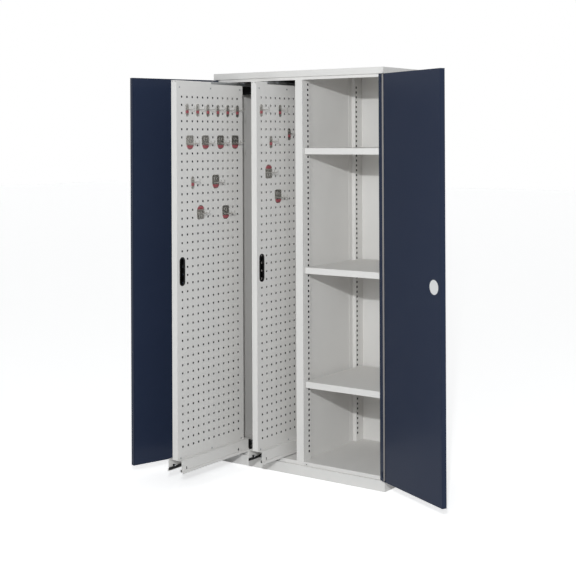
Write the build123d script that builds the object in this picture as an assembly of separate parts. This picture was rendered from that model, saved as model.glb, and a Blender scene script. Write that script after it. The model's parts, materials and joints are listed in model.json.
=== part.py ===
from build123d import *
import os

# Tool cabinet with two swing doors, two pull-out perforated panels on the left
# and a shelf compartment on the right.  Millimetres, +Z up, X to the right seen
# from the front, Y from the front to the back.  The origin is on the floor at the
# centre of the four anchor holes in the plinth.  The doors and panels are drawn
# in their resting positions: doors open, one panel fully out, one partly out.

# ---- carcass -------------------------------------------------------------
WIDTH = 1000.0
DEPTH = 580.0
HEIGHT = 1950.0
PLINTH_H = 50.0
CAP_H = 30.0
SHEET = 1.5                 # folded body sheet
EDGE_R = 1.4                # outside radius of folds that are seen
FRAME_SETBACK = 14.0        # header, sill and divider behind the fascia plane
SIDE_SETBACK = 20.0         # front flanges of the sides behind the fascia plane
FLOOR_RISE = 16.5           # floor pan above the plinth
FLOOR_WING_GAP = 4.0        # floor pan to the side sheets
SILL_HOLE_R = 3.0
SILL_HOLE_X = 53.0
SILL_HOLE_RISE = 5.5        # above the plinth
HEADER_H = 15.0             # header rail under the cap
BACK_INSET = 30.0           # back panel ahead of the rear edges
SIDE_POST_W = 30.0          # side posts, measured in from the outside face
PLINTH_FLANGE = 40.0        # foot flange with the anchor holes
CAP_RETURN = 30.0
ANCHOR_R = 5.5
ANCHOR_INSET = 30.0
WALL_HOLE_R = 4.5
WALL_HOLE_SPACING = 600.0
WALL_HOLE_DROP = 80.0

# ---- divider, slotted posts and shelves ----------------------------------
DIVIDER_LEFT = -4.8
DIVIDER_W = 43.6
POST_STEP = 21.05           # how far the posts stand out of the divider sheet
FRONT_POST_D = 60.0
REAR_POST_D = 66.0
REAR_POST_FLANGE = 30.0     # flange of a rear post on its wall
SLOT_PITCH = 25.0
SLOT_FIRST_RISE = 41.5      # first slot above the floor pan
SLOT_COUNT = 72
SLOT_W = 11.0
SLOT_H = 11.0
FRONT_SLOT_INSET = 15.0     # slot centre from the rear edge of a front post
REAR_SLOT_INSET = 12.0      # slot centre from the front edge of a rear post
SHELF_SLOTS = (14, 36, 59)  # slot that carries each shelf, from the floor
SHELF_ABOVE_SLOT = -7.0
SHELF_H = 30.0
SHELF_SIDE_H = 12.0
SHELF_GAP = 4.0
SHELF_SETBACK = 12.0        # shelf front behind the frame front
SHELF_BACK_GAP = 26.0
SHELF_LIP = 10.0
CLIP_REACH = 15.0
CLIP_T = 2.0
CLIP_W = 10.0

# ---- doors ---------------------------------------------------------------
PIVOT_INSET = 13.0          # hinge axis from the outside of the cabinet
PIVOT_BACK = 3.0            # hinge axis behind the fascia plane
PIN_R = 2.5
PIN_FIT = 0.08
PIN_SHOULDER_R = 3.0
PIN_SHOULDER_H = 3.0
PIN_REACH = 28.0
BUSH_R = 4.5
DOOR_GAP_LOW = 3.0          # door to plinth
DOOR_GAP_TOP = 2.5          # door to cap
DOOR_GAP_CENTRE = 1.0       # door edge to the cabinet's centre plane
DOOR_T = 23.0
DOOR_PROUD = 10.0           # door face ahead of the fascia plane
DOOR_OVERHANG = 10.0        # door edge beyond the hinge axis
HINGE_ZONE = 8.0            # shallow strip from the hinge axis to the stile
HINGE_ZONE_DROP = 3.0       # shallow strip below the inner face
STILE_W = 15.0
GROOVE_W = 20.0
GROOVE_D = 7.5
NOTCH_W = 10.0
NOTCH_H = 27.0
NOTCH_RISE = 15.5
LEFT_OPEN = 107.7
RIGHT_OPEN = 153.5

# ---- lock ----------------------------------------------------------------
LOCK_FROM_EDGE = 55.0
LOCK_Z = 984.0
COVER_R = 32.0
COVER_T = 2.0
COVER_PROUD = 0.5           # cover disc above the inner face of the door
COVER_FIT = 0.3
SPINDLE_R = 7.0
SPINDLE_FIT = 0.1
SPINDLE_SHORT = 1.0         # spindle end short of the back of the case
CASE_W = 50.0
CASE_H = 84.0
ROSE_R = 21.0
ROSE_T = 2.5
ROSE_GAP = 0.3              # turning rose above the door face
HUB_R = 15.0
HUB_PROUD = 25.0            # front of the hub ahead of the door face
LEVER_W = 24.0
LEVER_UP = 56.0
LEVER_PROUD = 20.0
LEVER_T = 12.0
CYLINDER_R = 8.0
CYLINDER_PROUD = 1.5
KEYWAY_W = 1.6
KEYWAY_H = 8.0
KEYWAY_DEPTH = 1.0
ROD_R = 3.5
ROD_OFFSET = 4.0            # rod axis towards the inner face, from the hinge axis
ROD_FIT = 0.3               # rod in the door's end sheets and in the lock case
ROD_CATCH_R = 5.0           # catch holes in the plinth and the cap
ROD_TIP_GAP = 0.5           # rod tip below the outside of the end sheet
ROD_ENTRY = 26.0            # rod end inside the lock case
ROD_SOCKET_SPARE = 2.0

# ---- pull-out panels -----------------------------------------------------
PANEL_CENTRES = (-339.5, -128.5)
PANEL_OUT = (490.0, 153.7)  # front edge ahead of the fascia plane
PANEL_D = 500.0
PANEL_T = 31.0
PANEL_SKIN = 1.5
PANEL_BOTTOM = 130.0
PANEL_TOP = 1884.0
FRAME_FLANGE = 18.0
PITCH = 38.0
HOLE = 9.4
COLUMNS = 12
ROWS = 44
FIRST_COLUMN = 38.5
FIRST_ROW_RISE = 55.6
GRIP_W = 30.0
GRIP_H = 126.0
GRIP_ROW = 21.5             # grip centre in rows above the lowest row
GRIP_HOLES = 4
TRIM_LIP = 4.5
TRIM_PROUD = 1.2
EDGE_STRIP_W = 20.0
EDGE_STRIP_D = 9.0
SCREW_R = 3.6
SCREW_PROUD = 1.2
SCREW_DROP = 19.4
SCREW_INSET = 22.4
STEP_CLEAR = 3.5            # carriage above the floor pan
CARRIAGE_W = 82.0
CARRIAGE_SKIN = 1.5
CARRIAGE_STEP = 5.0
CARRIAGE_STEP_H = 13.0
CARRIAGE_OVERRUN = 4.0
CARRIAGE_HOLE_R = 6.2
CARRIAGE_HOLE_RISE = 24.0
CARRIAGE_HOLE_INSET = 75.0  # ahead of the panel's rear edge
CARRIAGE_SLOT_W = 7.0
CARRIAGE_SLOT_H = 14.0
CARRIAGE_SLOT_RISE = 23.0
CARRIAGE_SLOT_INSET = 35.0  # behind the panel's front edge

# ---- telescopic slides ---------------------------------------------------
SLIDE_START = 18.0          # closed panel front behind the fascia plane
RUN_GAP = 0.3               # between the members of a slide where they bear
RAIL_T = 2.5
INNER_RAIL_W = 6.3          # rails on the carriage's skirts
INNER_RAIL_H = 10.7
INNER_RAIL_RISE = 11.5      # above the floor pan
ROLLER_R = 5.0
ROLLER_W = 10.5
ROLLER_INSET = 34.0
AXLE_HEAD_R = 3.8
AXLE_HEAD_T = 1.5
GUIDE_BLOCK_D = 22.0        # blocks behind the carriage's rear end
GUIDE_BLOCK_H = 46.0
OUTER_H = 11.0
RAIL_REAR_GAP = 8.0
TOP_T = 1.5
TOP_INNER_W = 30.0
TOP_INNER_H = 12.0
TOP_HOLE_R = 2.8
TOP_HOLE_X = 9.0
TOP_HOLE_RISE = 6.5
TOP_SKIRT_GAP = 2.0
TOP_SIDE_STEP = 4.0
CARRIER_D = 40.0
CARRIER_YS = (196.0, 470.0)
CARRIER_DROP = 50.0
CARRIER_FOOT = 80.0

# ---- tool hooks, as (column, row from the top) of the upper hole ----------
PLATE_T = 1.6
PLATE_DROP = 5.0            # plate centre below the middle of its two holes
PLATE_CORNER = 12.0
NARROW_W = 26.0
NARROW_H = 60.0
WIDE_W = 57.0
WIDE_H = 67.0
WIRE_R = 2.0
NARROW_WIRE_RISE = 4.0      # wire above the plate's centre
WIDE_WIRE_RISE = -4.0
HOOK_REACH = 46.0
HOOK_TIP = 14.0
PEG = 6.0
LABEL_T = 0.6
LABEL_H = 12.0
LABEL_SIDE = 4.0            # label edge from the plate's edge
NARROW_LABEL_DROP = 8.0     # label centre below the plate's centre
WIDE_LABEL_DROP = 19.0
NARROW_HOOKS = (
    ((1, 1), (3, 1), (5, 1), (7, 1), (9, 1), (11, 1), (2, 10)),
    ((0, 1), (4, 1), (6, 4), (2, 5)),
)
WIDE_HOOKS = (
    ((1, 5), (4, 5), (7, 5), (10, 5), (6, 10), (8, 14)),
    ((3, 12),),
)
FLIPPED_HOOKS = (((3, 14),), ((1, 9),))

# ---- derived places ------------------------------------------------------
FRONT = -DEPTH / 2
REAR = DEPTH / 2
HALF = WIDTH / 2
CAP_Z = HEIGHT - CAP_H
FLOOR_Z = PLINTH_H + FLOOR_RISE
HEADER_Z = CAP_Z - HEADER_H
ROOF_Z = HEIGHT - SHEET
FRAME_Y = FRONT + FRAME_SETBACK
FRONT_POST_Y1 = FRAME_Y + FRONT_POST_D
SIDE_Y = FRONT + SIDE_SETBACK
BACK_Y = REAR - BACK_INSET
INNER_X = HALF - SIDE_POST_W
DIVIDER_RIGHT = DIVIDER_LEFT + DIVIDER_W
WALL_X = DIVIDER_RIGHT - POST_STEP
PIVOT_X = HALF - PIVOT_INSET
PIVOT_Y = FRONT + PIVOT_BACK
DOOR_Z0 = PLINTH_H + DOOR_GAP_LOW
DOOR_Z1 = CAP_Z - DOOR_GAP_TOP
DOOR_OUT = -DOOR_PROUD - PIVOT_BACK
DOOR_IN = DOOR_OUT + DOOR_T
DOOR_FREE = PIVOT_X - DOOR_GAP_CENTRE
LOCK_U = DOOR_FREE - LOCK_FROM_EDGE
GRIP_Z = PANEL_BOTTOM + FIRST_ROW_RISE + GRIP_ROW * PITCH
CARRIAGE_Z = FLOOR_Z + STEP_CLEAR
CARRIAGE_IN = CARRIAGE_W / 2 - CARRIAGE_SKIN

os.makedirs("parts", exist_ok=True)


def save(name, shape):
    export_step(shape, f"parts/{name}.step")


def block(x0, x1, y0, y1, z0, z1):
    centre = Pos((x0 + x1) / 2, (y0 + y1) / 2, (z0 + z1) / 2)
    return centre * Box(x1 - x0, y1 - y0, z1 - z0)


def rod_z(x, y, z0, z1, radius):
    return Pos(x, y, (z0 + z1) / 2) * Cylinder(radius, z1 - z0)


def rod_x(x0, x1, y, z, radius):
    return Pos((x0 + x1) / 2, y, z) * Rot(0, 90, 0) * Cylinder(radius, x1 - x0)


def rod_y(x, y0, y1, z, radius):
    return Pos(x, (y0 + y1) / 2, z) * Rot(90, 0, 0) * Cylinder(radius, y1 - y0)


def group(solids):
    return Compound(children=list(solids))


def round_edges(shape, axis, radius, keep):
    """Round the edges along one axis whose centre passes the test."""
    chosen = [e for e in shape.edges().filter_by(axis) if keep(e.center())]
    return fillet(chosen, radius)


# ---- carcass pieces --------------------------------------------------------
def plinth():
    body = block(-HALF, HALF, FRONT, REAR, 0, PLINTH_H)
    body = round_edges(body, Axis.Z, EDGE_R, lambda c: True)
    wall = SHEET
    body -= block(-HALF + wall, HALF - wall, FRONT + wall, REAR - wall, wall, PLINTH_H - wall)
    inset = PLINTH_FLANGE
    body -= block(-HALF + inset, HALF - inset, FRONT + inset, REAR - inset, -1, wall + 1)
    for x in (-HALF + ANCHOR_INSET, HALF - ANCHOR_INSET):
        for y in (FRONT + ANCHOR_INSET, REAR - ANCHOR_INSET):
            body -= rod_z(x, y, -1, wall + 1, ANCHOR_R)
    body -= rod_z(PIVOT_X - LOCK_U, PIVOT_Y + ROD_OFFSET, PLINTH_H - wall - 1, PLINTH_H + 1, ROD_CATCH_R)
    return body


def top_cap():
    body = block(-HALF, HALF, FRONT, REAR, CAP_Z, HEIGHT)
    body = round_edges(body, Axis.Z, EDGE_R, lambda c: True)
    body = round_edges(body, Axis.X, EDGE_R, lambda c: c.Z > CAP_Z + 1)
    wall = SHEET
    body -= block(-HALF + wall, HALF - wall, FRONT + wall, REAR - wall, CAP_Z + wall, HEIGHT - wall)
    inset = CAP_RETURN
    body -= block(-HALF + inset, HALF - inset, FRONT + inset, BACK_Y + SHEET, CAP_Z - 1, CAP_Z + wall + 1)
    body -= rod_z(PIVOT_X - LOCK_U, PIVOT_Y + ROD_OFFSET, CAP_Z - 1, CAP_Z + wall + 1, ROD_CATCH_R)
    return body


def floor_pan():
    x0, x1 = -INNER_X, INNER_X
    body = block(x0, x1, FRAME_Y, BACK_Y, FLOOR_Z - SHEET, FLOOR_Z)
    body += block(x0, x1, FRAME_Y, FRAME_Y + SHEET, PLINTH_H, FLOOR_Z - SHEET)
    body += block(x0, x1, BACK_Y - SHEET, BACK_Y, PLINTH_H, FLOOR_Z - SHEET)
    body = round_edges(body, Axis.X, EDGE_R, lambda c: c.Z > FLOOR_Z - 0.1 and c.Y < FRAME_Y + 0.1)
    wing = HALF - SHEET - FLOOR_WING_GAP
    for w0, w1 in ((-wing, x0), (x1, wing)):
        body += block(w0, w1, FRONT_POST_Y1, BACK_Y, FLOOR_Z - SHEET, FLOOR_Z)
    hole_z = PLINTH_H + SILL_HOLE_RISE
    return body - rod_y(SILL_HOLE_X, FRAME_Y - 1, FRAME_Y + SHEET + 1, hole_z, SILL_HOLE_R)


def header_rail():
    body = block(-INNER_X, INNER_X, FRAME_Y, FRAME_Y + SHEET, HEADER_Z, CAP_Z)
    body += block(-INNER_X, INNER_X, FRAME_Y + SHEET, SIDE_Y, HEADER_Z, HEADER_Z + SHEET)
    return body


def side_panel(hand):
    """Outer side sheet with its front and rear folds; hand is -1 left, +1 right."""
    out, inn = hand * HALF, hand * (HALF - SHEET)
    post = hand * (INNER_X + SHEET)
    x0, x1 = min(out, inn), max(out, inn)
    f0, f1 = min(post, inn), max(post, inn)
    body = block(x0, x1, SIDE_Y, REAR, PLINTH_H, CAP_Z)
    body += block(f0, f1, SIDE_Y, SIDE_Y + SHEET, PLINTH_H, CAP_Z)
    body += block(f0, f1, REAR - SHEET, REAR, PLINTH_H, CAP_Z)
    return body


def back_panel():
    x1 = HALF - SHEET
    roof_x = HALF - CAP_RETURN
    body = block(-x1, x1, BACK_Y, BACK_Y + SHEET, PLINTH_H, CAP_Z)
    body += block(-roof_x, roof_x, BACK_Y, BACK_Y + SHEET, CAP_Z, ROOF_Z)
    for z0 in (PLINTH_H, CAP_Z - SHEET):
        body += block(-x1, x1, BACK_Y + SHEET, REAR - SHEET, z0, z0 + SHEET)
    z = CAP_Z - WALL_HOLE_DROP
    for x in (-WALL_HOLE_SPACING / 2, WALL_HOLE_SPACING / 2):
        body -= rod_y(x, BACK_Y - 1, BACK_Y + SHEET + 1, z, WALL_HOLE_R)
    return body


def slot_cutters(x0, x1, y):
    z0 = FLOOR_Z + SLOT_FIRST_RISE
    return [
        block(x0 - 1, x1 + 1, y - SLOT_W / 2, y + SLOT_W / 2,
              z0 + n * SLOT_PITCH - SLOT_H / 2, z0 + n * SLOT_PITCH + SLOT_H / 2)
        for n in range(SLOT_COUNT)
    ]


REAR_POST_Y0 = BACK_Y - REAR_POST_D
FRONT_SLOT_Y = FRONT_POST_Y1 - FRONT_SLOT_INSET
REAR_SLOT_Y = REAR_POST_Y0 + REAR_SLOT_INSET


def divider_front_post():
    x0, x1 = DIVIDER_LEFT, DIVIDER_RIGHT
    y0, y1 = FRAME_Y, FRONT_POST_Y1
    body = block(x0, x1, y0, y1, FLOOR_Z, HEADER_Z)
    body = round_edges(body, Axis.Z, EDGE_R, lambda c: c.Y < y0 + 1)
    body -= block(x0 + SHEET, x1 - SHEET, y0 + SHEET, y1 - SHEET, FLOOR_Z - 1, HEADER_Z + 1)
    body -= block(x0 + SHEET, WALL_X, y1 - SHEET - 1, y1 + 1, FLOOR_Z - 1, HEADER_Z + 1)
    return body - slot_cutters(x1 - SHEET, x1, FRONT_SLOT_Y)


def divider_wall():
    body = block(WALL_X - SHEET, WALL_X, SIDE_Y, BACK_Y, FLOOR_Z, CAP_Z)
    return body + block(WALL_X - SHEET, WALL_X, FRONT + CAP_RETURN, BACK_Y, CAP_Z, ROOF_Z)


def rear_post(face_x, wall_x, top):
    """Slotted post with a flange on its wall, a step and the face that carries the shelves."""
    inward = 1 if face_x > wall_x else -1
    skin0, skin1 = sorted((face_x, face_x - inward * SHEET))
    flange0, flange1 = sorted((wall_x, wall_x + inward * SHEET))
    x0, x1 = sorted((face_x, wall_x))
    body = block(x0, x1, REAR_POST_Y0, REAR_POST_Y0 + SHEET, FLOOR_Z, top)
    body += block(flange0, flange1, REAR_POST_Y0 - REAR_POST_FLANGE, REAR_POST_Y0, FLOOR_Z, top)
    body += block(skin0, skin1, REAR_POST_Y0 + SHEET, BACK_Y, FLOOR_Z, top)
    return body - slot_cutters(skin0, skin1, REAR_SLOT_Y)


def side_front_post(hand, slotted):
    face, wall = hand * INNER_X, hand * (HALF - SHEET)
    skin0, skin1 = sorted((face, face + hand * SHEET))
    f0, f1 = sorted((face + hand * SHEET, wall))
    y1 = FRONT_POST_Y1
    body = block(skin0, skin1, SIDE_Y, y1, PLINTH_H, HEADER_Z)
    body += block(f0, f1, y1 - SHEET, y1, PLINTH_H, HEADER_Z)
    if slotted:
        body -= slot_cutters(skin0, skin1, FRONT_SLOT_Y)
    return body


SHELF_X0 = DIVIDER_RIGHT + SHELF_GAP
SHELF_X1 = INNER_X - SHELF_GAP
SHELF_Y0 = FRAME_Y + SHELF_SETBACK
SHELF_Y1 = BACK_Y - SHELF_BACK_GAP


def shelf_top(slot):
    return FLOOR_Z + SLOT_FIRST_RISE + slot * SLOT_PITCH + SHELF_ABOVE_SLOT


def shelf(slot):
    top = shelf_top(slot)
    low = top - SHELF_H
    body = block(SHELF_X0, SHELF_X1, SHELF_Y0, SHELF_Y1, top - SHEET, top)
    for y in (SHELF_Y0, SHELF_Y1 - SHEET):
        body += block(SHELF_X0, SHELF_X1, y, y + SHEET, low, top - SHEET)
    body += block(SHELF_X0, SHELF_X1, SHELF_Y0 + SHEET, SHELF_Y0 + SHELF_LIP, low, low + SHEET)
    for x in (SHELF_X0, SHELF_X1 - SHEET):
        body += block(x, x + SHEET, SHELF_Y0 + SHEET, SHELF_Y1 - SHEET, top - SHELF_SIDE_H, top - SHEET)
    front = lambda c: c.Y < SHELF_Y0 + 0.1 and abs(c.Z - top) < 0.1
    return round_edges(body, Axis.X, EDGE_R, front)


def shelf_clips():
    """Four angle clips under each shelf, pushed into the slots."""
    clips = []
    for slot in SHELF_SLOTS:
        rest = shelf_top(slot) - SHELF_SIDE_H
        for face, way in ((DIVIDER_RIGHT, 1), (INNER_X, -1)):
            for y in (FRONT_SLOT_Y, REAR_SLOT_Y):
                t0, t1 = sorted((face, face + way * CLIP_REACH))
                b0, b1 = sorted((face, face + way * CLIP_T))
                clip = block(t0, t1, y - CLIP_W / 2, y + CLIP_W / 2, rest - CLIP_T, rest)
                clip += block(b0, b1, y - CLIP_W / 2, y + CLIP_W / 2, rest - CLIP_REACH, rest - CLIP_T)
                clips.append(clip)
    return group(clips)


def hinge_pins():
    """Shouldered pins on the plinth and under the cap, one pair per door."""
    pins = []
    for x in (-PIVOT_X, PIVOT_X):
        for base, way in ((PLINTH_H, 1), (CAP_Z, -1)):
            s0, s1 = sorted((base, base + way * PIN_SHOULDER_H))
            p0, p1 = sorted((base + way * PIN_SHOULDER_H, base + way * (PIN_SHOULDER_H + PIN_REACH)))
            pins.append(rod_z(x, PIVOT_Y, s0, s1, PIN_SHOULDER_R) + rod_z(x, PIVOT_Y, p0, p1, PIN_R))
    return group(pins)


# ---- doors, drawn from the hinge axis: X to the free edge, Y inwards --------
def door_skin():
    x0, x1 = -DOOR_OVERHANG, DOOR_FREE
    shallow = DOOR_IN - HINGE_ZONE_DROP
    body = block(x0, HINGE_ZONE, DOOR_OUT, shallow, DOOR_Z0, DOOR_Z1)
    body += block(HINGE_ZONE, x1, DOOR_OUT, DOOR_IN, DOOR_Z0, DOOR_Z1)
    body = round_edges(body, Axis.Z, EDGE_R, lambda c: c.Y < DOOR_OUT + 1 or c.X > x1 - 1)
    z0, z1 = DOOR_Z0 + SHEET, DOOR_Z1 - SHEET
    body -= block(x0 + SHEET, HINGE_ZONE, DOOR_OUT + SHEET, shallow - SHEET, z0, z1)
    body -= block(HINGE_ZONE, x1 - SHEET, DOOR_OUT + SHEET, DOOR_IN + 1, z0, z1)
    for z in (DOOR_Z0, z1):
        body -= rod_z(0, 0, z - 1, z + SHEET + 1, PIN_SHOULDER_R + PIN_FIT)
    return body


def hinge_stile():
    """Folded channel along the hinge side: stile face, step wall and groove floor."""
    z0, z1 = DOOR_Z0 + SHEET, DOOR_Z1 - SHEET
    edge = HINGE_ZONE + STILE_W
    face, floor = DOOR_IN - SHEET, DOOR_IN - GROOVE_D
    body = block(HINGE_ZONE, HINGE_ZONE + SHEET, DOOR_OUT + SHEET, face, z0, z1)
    body += block(HINGE_ZONE, edge, face, DOOR_IN, z0, z1)
    body += block(edge - SHEET, edge, floor - SHEET, face, z0, z1)
    body += block(edge, edge + GROOVE_W, floor - SHEET, floor, z0, z1)
    for z in (z0 + NOTCH_RISE - SHEET, z1 - NOTCH_RISE + SHEET - NOTCH_H):
        body -= block(edge - SHEET - NOTCH_W, edge - SHEET, face - 1, DOOR_IN + 1, z, z + NOTCH_H)
    return body


def door_liner():
    z0, z1 = DOOR_Z0 + SHEET, DOOR_Z1 - SHEET
    x0 = HINGE_ZONE + STILE_W + GROOVE_W
    x1 = DOOR_FREE - 2 * SHEET
    body = block(x0, x1, DOOR_IN - SHEET, DOOR_IN, z0, z1)
    body += block(x0, x0 + SHEET, DOOR_OUT + SHEET, DOOR_IN - SHEET, z0, z1)
    return body


def hinge_bushes():
    bushes = []
    for z0 in (DOOR_Z0 + SHEET, DOOR_Z1 - SHEET - PIN_REACH):
        bush = rod_z(0, 0, z0, z0 + PIN_REACH, BUSH_R)
        bushes.append(bush - rod_z(0, 0, z0 - 1, z0 + PIN_REACH + 1, PIN_R + PIN_FIT))
    return bushes


SPINDLE_HOLE_R = SPINDLE_R + SPINDLE_FIT
ROD_HOLE_R = ROD_R + ROD_FIT
CASE_Y0 = DOOR_OUT + SHEET
CASE_Y1 = DOOR_IN - SHEET
CASE_Z0 = LOCK_Z - CASE_H / 2
CASE_Z1 = LOCK_Z + CASE_H / 2


def lock_case():
    """Case between the door's two sheets, with the spindle hole and two rod sockets."""
    u = LOCK_U
    depth = ROD_ENTRY + ROD_SOCKET_SPARE
    body = block(u - CASE_W / 2, u + CASE_W / 2, CASE_Y0, CASE_Y1, CASE_Z0, CASE_Z1)
    body -= rod_y(u, CASE_Y0 - 1, CASE_Y1 + 1, LOCK_Z, SPINDLE_HOLE_R)
    body -= rod_z(u, ROD_OFFSET, CASE_Z1 - depth, CASE_Z1 + 1, ROD_HOLE_R)
    return body - rod_z(u, ROD_OFFSET, CASE_Z0 - 1, CASE_Z0 + depth, ROD_HOLE_R)


def lock_inner_cover():
    top = DOOR_IN + COVER_PROUD
    disc = rod_y(LOCK_U, top - COVER_T, top, LOCK_Z, COVER_R)
    return fillet(disc.edges().filter_by(GeomType.CIRCLE).sort_by(Axis.Y)[-1], COVER_PROUD)


def lock_handle():
    """Lever, round hub, rose and spindle in one turning piece."""
    face = DOOR_OUT - ROSE_GAP
    front = DOOR_OUT - LEVER_PROUD
    rose = rod_y(LOCK_U, face - ROSE_T, face, LOCK_Z, ROSE_R)
    hub = rod_y(LOCK_U, DOOR_OUT - HUB_PROUD, face - ROSE_T, LOCK_Z, HUB_R)
    hub = fillet(hub.edges().filter_by(GeomType.CIRCLE).sort_by(Axis.Y)[0], HUB_R / 6)
    lever = block(LOCK_U - LEVER_W / 2, LOCK_U + LEVER_W / 2, front, front + LEVER_T,
                  LOCK_Z - LEVER_W / 2, LOCK_Z + LEVER_UP)
    lever = fillet(lever.edges().filter_by(Axis.Y), LEVER_W / 2 - 1)
    lever = fillet(lever.edges().group_by(Axis.Y)[0], LEVER_T / 4)
    spindle = rod_y(LOCK_U, face, CASE_Y1 - SPINDLE_SHORT, LOCK_Z, SPINDLE_R)
    return rose + hub + lever + spindle


def lock_cylinder():
    face = DOOR_OUT - HUB_PROUD
    front = face - CYLINDER_PROUD
    barrel = rod_y(LOCK_U, front, face, LOCK_Z, CYLINDER_R)
    half_w, half_h = KEYWAY_W / 2, KEYWAY_H / 2
    return barrel - block(LOCK_U - half_w, LOCK_U + half_w, front - 1, front + KEYWAY_DEPTH,
                          LOCK_Z - half_h, LOCK_Z + half_h)


def lock_rods():
    upper = rod_z(LOCK_U, ROD_OFFSET, CASE_Z1 - ROD_ENTRY, DOOR_Z1 - ROD_TIP_GAP, ROD_R)
    lower = rod_z(LOCK_U, ROD_OFFSET, DOOR_Z0 + ROD_TIP_GAP, CASE_Z0 + ROD_ENTRY, ROD_R)
    return upper, lower


def left_placed(shape):
    return Pos(-PIVOT_X, PIVOT_Y, 0) * Rot(0, 0, -LEFT_OPEN) * shape


def right_placed(shape):
    return Pos(PIVOT_X, PIVOT_Y, 0) * Rot(0, 0, RIGHT_OPEN) * mirror(shape, about=Plane.YZ)


# ---- pull-out panels, drawn from the front edge: X across, Y backwards ------
def column_y(column):
    return FIRST_COLUMN + column * PITCH


def row_z(row_from_top):
    return PANEL_BOTTOM + FIRST_ROW_RISE + (ROWS - 1 - row_from_top) * PITCH


def perforated_sheet(x0, x1):
    y0, y1 = PANEL_SKIN, PANEL_D - PANEL_SKIN
    z0, z1 = PANEL_BOTTOM + PANEL_SKIN, PANEL_TOP - PANEL_SKIN
    plane = Plane(origin=(x0, 0, 0), x_dir=(0, 1, 0), z_dir=(1, 0, 0))
    outer = (plane * Pos((y0 + y1) / 2, (z0 + z1) / 2) * Rectangle(y1 - y0, z1 - z0)).wire()
    grip = [(ROWS - 1 - GRIP_ROW) + (n - (GRIP_HOLES - 1) / 2) for n in range(GRIP_HOLES)]
    holes = []
    for column in range(COLUMNS):
        for row in range(ROWS):
            if column == 0 and row in grip:
                continue
            spot = Pos(column_y(column), row_z(row))
            holes.append((plane * spot * Rectangle(HOLE, HOLE)).wire())
    holes.append((plane * Pos(column_y(0), GRIP_Z) * SlotOverall(GRIP_H, GRIP_W, rotation=90)).wire())
    return extrude(Face(outer, holes), x1 - x0, dir=(1, 0, 0))


def panel_frame():
    half, skin = PANEL_T / 2, PANEL_SKIN
    inner = half - skin
    z0, z1 = PANEL_BOTTOM, PANEL_TOP
    body = None
    for y, deep in ((0, FRAME_FLANGE), (PANEL_D - skin, -FRAME_FLANGE)):
        web = block(-half, half, y, y + skin, z0, z1)
        body = web if body is None else body + web
        f0, f1 = sorted((y + (skin if deep > 0 else 0), y + deep))
        for x in (-inner, inner - skin):
            body += block(x, x + skin, f0, f1, z0 + skin, z1 - skin)
    for z in (z0, z1 - skin):
        body += block(-half, half, skin, PANEL_D - skin, z, z + skin)
    return round_edges(body, Axis.Z, EDGE_R, lambda c: c.Y < 0.1 and abs(c.X) > half - 0.1)


def grip_trims():
    trims = []
    for x, way in ((PANEL_T / 2, 1), (-PANEL_T / 2, -1)):
        x0, x1 = sorted((x, x + way * TRIM_PROUD))
        n0, n1 = sorted((x, x - way * 2 * PANEL_SKIN))
        spot = Pos(0, column_y(0), GRIP_Z) * Rot(0, 90, 0)
        lip = SlotOverall(GRIP_H + 2 * TRIM_LIP, GRIP_W + 2 * TRIM_LIP)
        neck = SlotOverall(GRIP_H, GRIP_W)
        bore = SlotOverall(GRIP_H - 2 * PANEL_SKIN, GRIP_W - 2 * PANEL_SKIN)
        ring = extrude(Pos(x0, 0, 0) * spot * lip, x1 - x0)
        ring += extrude(Pos(n0, 0, 0) * spot * neck, n1 - n0)
        ring -= extrude(Pos(min(x0, n0) - 1, 0, 0) * spot * bore, 2 + TRIM_PROUD + 2 * PANEL_SKIN)
        trims.append(ring)
    return trims


def edge_strip():
    half = EDGE_STRIP_W / 2
    return block(-half, half, PANEL_D, PANEL_D + EDGE_STRIP_D, PANEL_BOTTOM, PANEL_TOP)


def carriage():
    half, skin, step = CARRIAGE_W / 2, CARRIAGE_SKIN, CARRIAGE_STEP
    y1 = PANEL_D + CARRIAGE_OVERRUN
    z0, z1 = CARRIAGE_Z, PANEL_BOTTOM
    ledge = z0 + CARRIAGE_STEP_H
    body = block(-half, half, 0, y1, z1 - skin, z1)
    for way in (-1, 1):
        s0, s1 = sorted((way * half, way * (half - skin)))
        l0, l1 = sorted((way * half, way * (half + step)))
        e0, e1 = sorted((way * (half + step), way * (half + step - skin)))
        body += block(s0, s1, 0, y1, ledge - skin, z1 - skin)
        body += block(l0, l1, 0, y1, ledge - skin, ledge)
        body += block(e0, e1, 0, y1, z0, ledge - skin)
    body = round_edges(body, Axis.Y, EDGE_R, lambda c: c.Z > z1 - 0.1)
    hole_y = PANEL_D - CARRIAGE_HOLE_INSET
    body -= rod_x(half - skin - 1, half + 1, hole_y, z0 + CARRIAGE_HOLE_RISE, CARRIAGE_HOLE_R)
    slot_y, slot_z = CARRIAGE_SLOT_INSET, z0 + CARRIAGE_SLOT_RISE
    return body - block(half - skin - 1, half + 1, slot_y - CARRIAGE_SLOT_W / 2, slot_y + CARRIAGE_SLOT_W / 2,
                        slot_z - CARRIAGE_SLOT_H / 2, slot_z + CARRIAGE_SLOT_H / 2)


MIDDLE_Z = FLOOR_Z + RAIL_T + RUN_GAP
INNER_RAIL_Z0 = FLOOR_Z + INNER_RAIL_RISE
INNER_RAIL_Z1 = INNER_RAIL_Z0 + INNER_RAIL_H
ROLLER_Z = INNER_RAIL_Z1 + RUN_GAP + ROLLER_R
MIDDLE_HALF = CARRIAGE_IN - INNER_RAIL_W - RUN_GAP
TOP_Z0 = PANEL_TOP
TOP_INNER_Z1 = TOP_Z0 + TOP_INNER_H
ROLLER_YS = (ROLLER_INSET, PANEL_D - ROLLER_INSET)


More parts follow.
